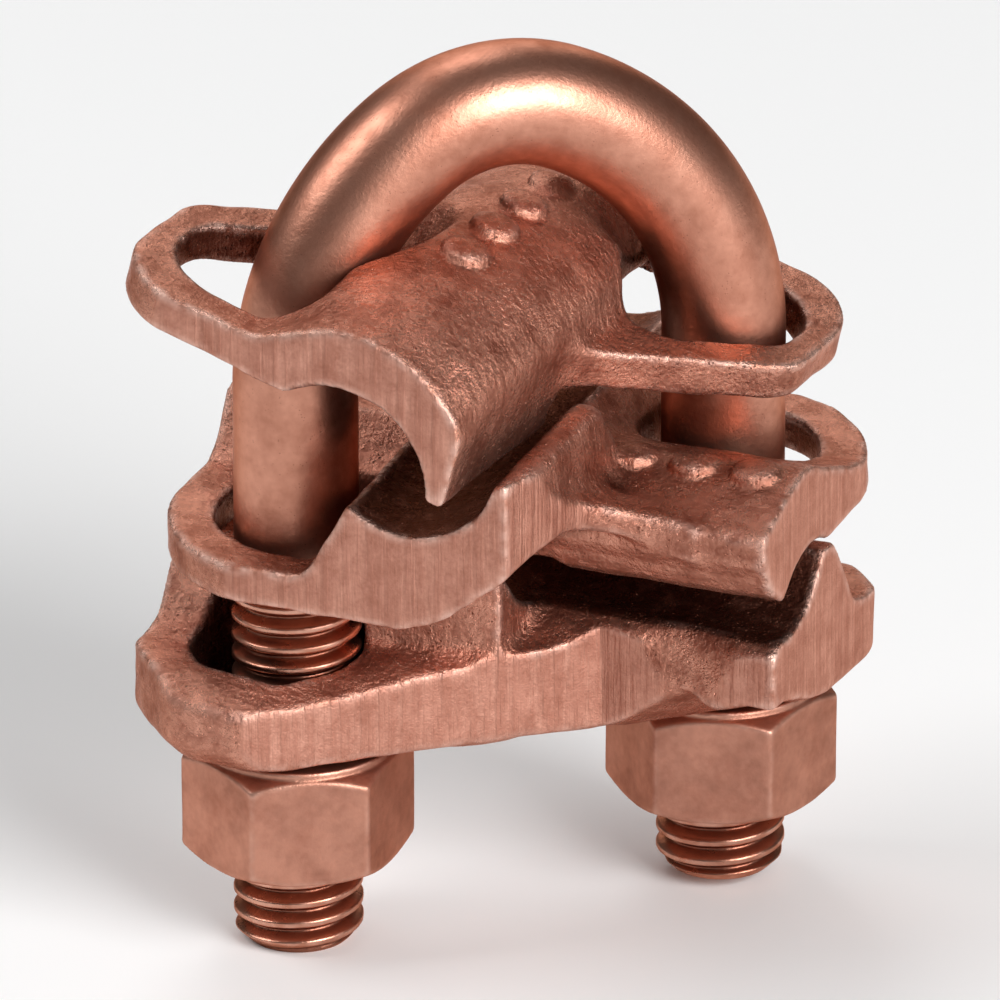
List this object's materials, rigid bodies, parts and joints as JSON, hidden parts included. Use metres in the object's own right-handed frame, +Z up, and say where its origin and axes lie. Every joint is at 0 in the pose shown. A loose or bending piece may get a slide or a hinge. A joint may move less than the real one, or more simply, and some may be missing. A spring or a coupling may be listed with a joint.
{
  "type": "cross cable connector",
  "caption": "Copper-coloured U-bolt connector whose grooved castings slide on the legs and are drawn together by hex nuts to clamp cables that cross at a right angle.",
  "frame": {"origin": "on the U-bolt's centre axis at the level of the longer stud's end", "axes": "+Z up along the legs toward the arch, +X along the lower cable, +Y along the upper cable; the U-bolt stands on the diagonal between X and Y"},
  "size_m": [0.054, 0.0537, 0.0789],
  "materials": {
    "rod": "satin drawn bronze rod with a cut thread",
    "casting": "sand-cast bronze with ground end faces",
    "nut": "satin forged bronze"
  },
  "bodies": {
    "u_bolt": {"u_bolt": "rod"},
    "base": {"base_casting": "casting"},
    "nut_left": {"nut_left": "nut"},
    "nut_right": {"nut_right": "nut"},
    "middle": {"middle_casting": "casting"},
    "cap": {"cap_casting": "casting"}
  },
  "joints": [
    {"name": "base_slide", "type": "slide", "parent": "u_bolt", "child": "base", "axis": [0, 0, 1], "range_m": [-0.006, 0]},
    {"name": "nut_left_spin", "type": "hinge", "parent": "base", "child": "nut_left", "pos_m": [-0.01358, -0.01358, 0.0132], "axis": [0, 0, 1], "range_deg": [-1192, 0]},
    {"name": "nut_right_spin", "type": "hinge", "parent": "base", "child": "nut_right", "pos_m": [0.01358, 0.01358, 0.0132], "axis": [0, 0, 1], "range_deg": [-1192, 0]},
    {"name": "middle_slide", "type": "slide", "parent": "base", "child": "middle", "axis": [0, 0, 1], "range_m": [0, 0.001]},
    {"name": "cap_slide", "type": "slide", "parent": "middle", "child": "cap", "axis": [0, 0, 1], "range_m": [0, 0.0013]}
  ],
  "couplings": [
    {"joint": "nut_left_spin", "follows": "base_slide", "rad_per_m": 3463.7},
    {"joint": "nut_right_spin", "follows": "base_slide", "rad_per_m": 3463.7}
  ]
}
